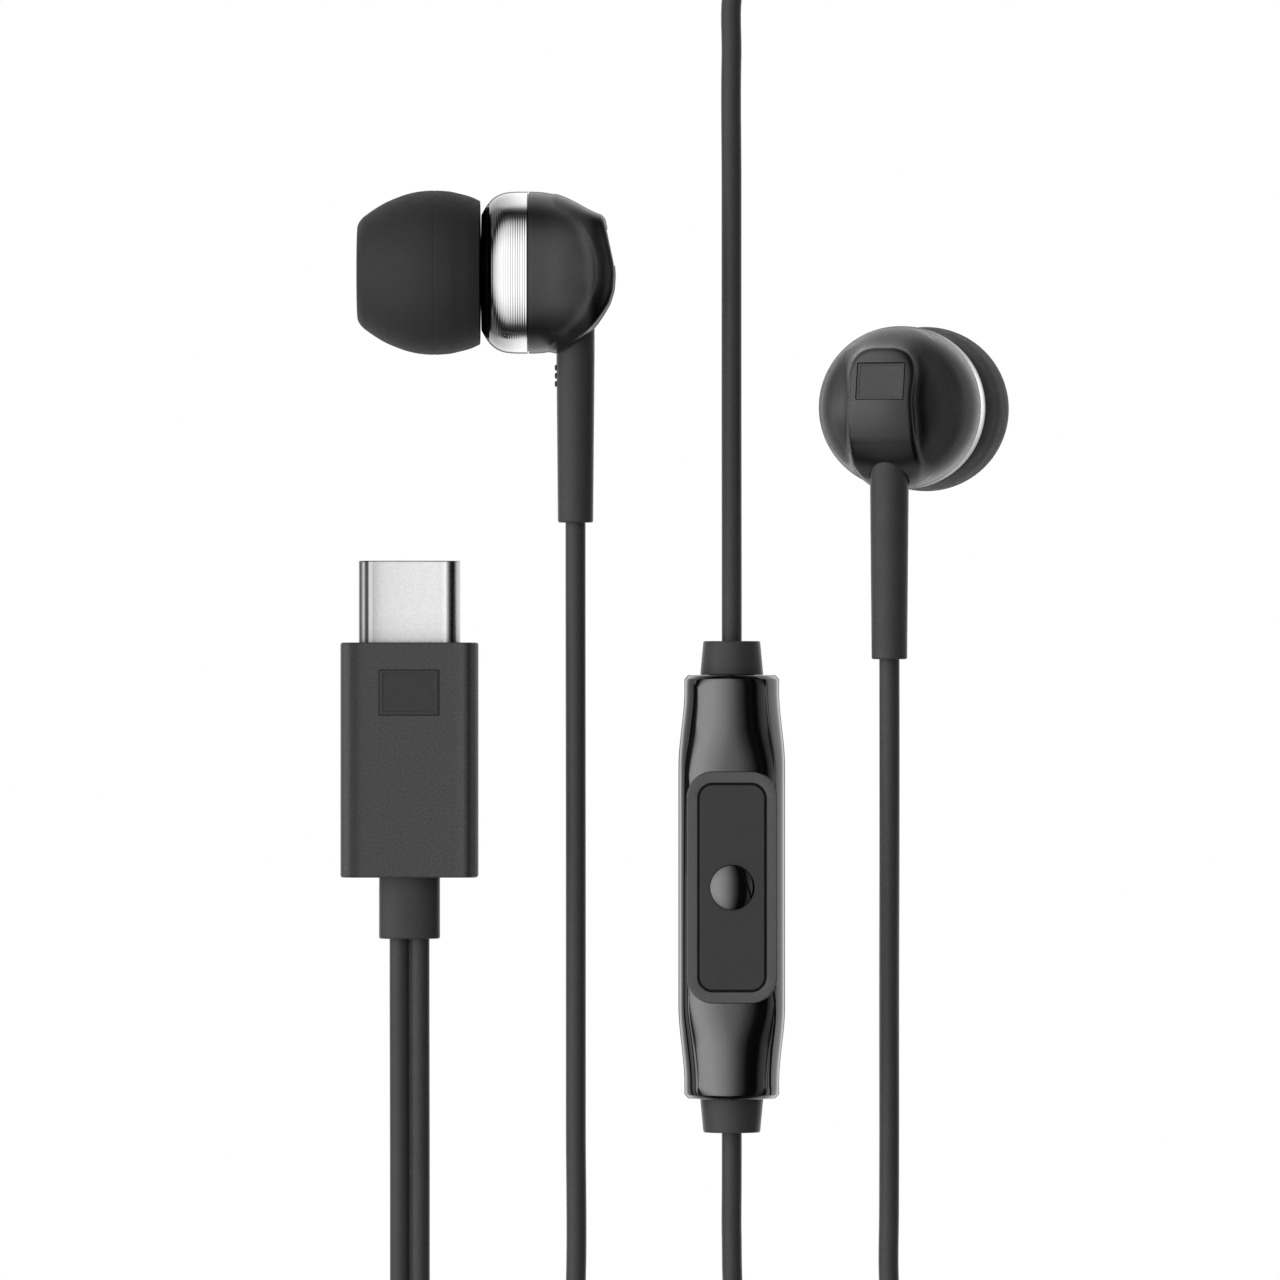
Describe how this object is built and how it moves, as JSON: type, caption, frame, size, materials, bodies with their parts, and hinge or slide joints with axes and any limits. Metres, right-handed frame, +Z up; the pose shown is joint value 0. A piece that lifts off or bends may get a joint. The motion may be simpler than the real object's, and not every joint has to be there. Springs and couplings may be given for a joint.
{
  "type": "wired earphones",
  "caption": "Wired in-ear earphones with silicone tips, an inline one-button remote, a splitter and a USB-C plug, laid flat with the unseen cord wound in a tied coil.",
  "frame": {"origin": "on the table under the middle of the box round the two earbuds with their cable boots", "axes": "+X runs from the left earbud to the right one, +Y points away from the cords, +Z is up"},
  "size_m": [0.0793, 0.1672, 0.0218],
  "materials": {
    "silicone": "soft matte silicone",
    "matte_shell": "fine satin moulding",
    "boot_rubber": "matte elastomer",
    "gloss_black": "high gloss",
    "bright_metal": "bright, fine turned lines",
    "nickel": "satin nickel plating",
    "magnet": "nickel-plated magnet",
    "copper": "enamelled copper winding",
    "film": "thin clear film",
    "board": "green solder mask",
    "chip": "black moulding compound",
    "bezel": "satin",
    "button": "matte",
    "sleeve": "fine spark-eroded grain",
    "cord": "satin jacket",
    "tie": "matte elastomer band",
    "gold": "gold-plated contacts"
  },
  "bodies": {
    "root": {"left_nozzle_shell": "gloss_black", "left_nozzle_mesh": "nickel", "left_trim_ring": "bright_metal", "left_rear_shell": "matte_shell", "left_badge_plate": "gloss_black", "left_cable_boot": "boot_rubber", "left_driver_frame": "nickel", "left_driver_magnet": "magnet", "left_pole_plate": "nickel", "left_terminal_board": "board", "right_nozzle_shell": "gloss_black", "right_nozzle_mesh": "nickel", "right_trim_ring": "bright_metal", "right_rear_shell": "matte_shell", "right_badge_plate": "gloss_black", "right_cable_boot": "boot_rubber", "right_driver_frame": "nickel", "right_driver_magnet": "magnet", "right_pole_plate": "nickel", "right_terminal_board": "board", "remote_front_shell": "gloss_black", "remote_back_shell": "gloss_black", "remote_bezel": "bezel", "remote_circuit_board": "board", "remote_switch_base": "chip", "remote_microphone": "nickel", "remote_upper_gland": "boot_rubber", "remote_lower_gland": "boot_rubber", "plug_shell": "nickel", "plug_insulator": "chip", "plug_upper_contacts": "gold", "plug_lower_contacts": "gold", "plug_circuit_board": "board", "plug_converter_chip": "chip", "plug_sleeve": "sleeve", "plug_badge_plate": "gloss_black", "plug_gland": "boot_rubber", "splitter_front_shell": "matte_shell", "splitter_back_shell": "matte_shell", "main_cord_run": "cord", "main_cord_tail": "cord", "left_cord_run": "cord", "left_cord_tail": "cord", "right_cord_run": "cord", "remote_cord_run": "cord", "cord_coil": "cord", "coil_tie": "tie"},
    "left_tip": {"left_ear_tip": "silicone"},
    "right_tip": {"right_ear_tip": "silicone"},
    "left_cone": {"left_diaphragm": "film", "left_voice_coil": "copper"},
    "right_cone": {"right_diaphragm": "film", "right_voice_coil": "copper"},
    "remote_key": {"remote_button": "button", "remote_button_dome": "gloss_black", "remote_switch_plunger": "bezel"}
  },
  "joints": [
    {"name": "left_tip_pull", "type": "slide", "parent": "root", "child": "left_tip", "axis": [-1, 0, 0], "range_m": [0, 0.008]},
    {"name": "right_tip_pull", "type": "slide", "parent": "root", "child": "right_tip", "axis": [0.2756, 0, -0.9613], "range_m": [0, 0.008]},
    {"name": "left_diaphragm_excursion", "type": "slide", "parent": "root", "child": "left_cone", "axis": [-1, 0, 0], "range_m": [-0.0001, 0.0001], "stiffness_N_per_m": 60},
    {"name": "right_diaphragm_excursion", "type": "slide", "parent": "root", "child": "right_cone", "axis": [0.2756, 0, -0.9613], "range_m": [-0.0001, 0.0001], "stiffness_N_per_m": 60},
    {"name": "remote_button_press", "type": "slide", "parent": "root", "child": "remote_key", "axis": [0, 0, -1], "range_m": [0, 0.00025], "stiffness_N_per_m": 2000, "springref_m": -0.0005}
  ]
}
